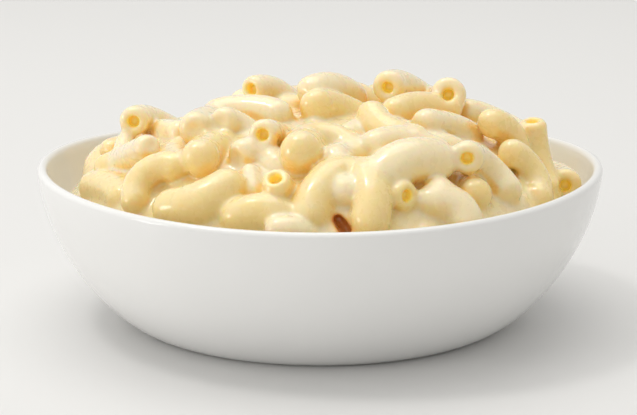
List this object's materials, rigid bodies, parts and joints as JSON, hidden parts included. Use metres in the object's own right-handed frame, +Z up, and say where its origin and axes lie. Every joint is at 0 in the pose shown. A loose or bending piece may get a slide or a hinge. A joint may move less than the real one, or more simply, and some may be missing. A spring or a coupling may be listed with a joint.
{
  "type": "bowl of macaroni and cheese",
  "caption": "White glazed bowl with curved sides, heaped with elbow macaroni in a smooth cheese sauce.",
  "frame": {"origin": "on the table under the bowl's centre", "axes": "+Z up, -Y towards the side the picture was taken from, +X to its right"},
  "size_m": [0.1538, 0.1538, 0.0681],
  "materials": {
    "glazed_white": "smooth gloss glaze",
    "sauced_pasta": "wet, soft sheen"
  },
  "bodies": {
    "root": {"bowl": "glazed_white", "macaroni_heap": "sauced_pasta"}
  },
  "joints": []
}
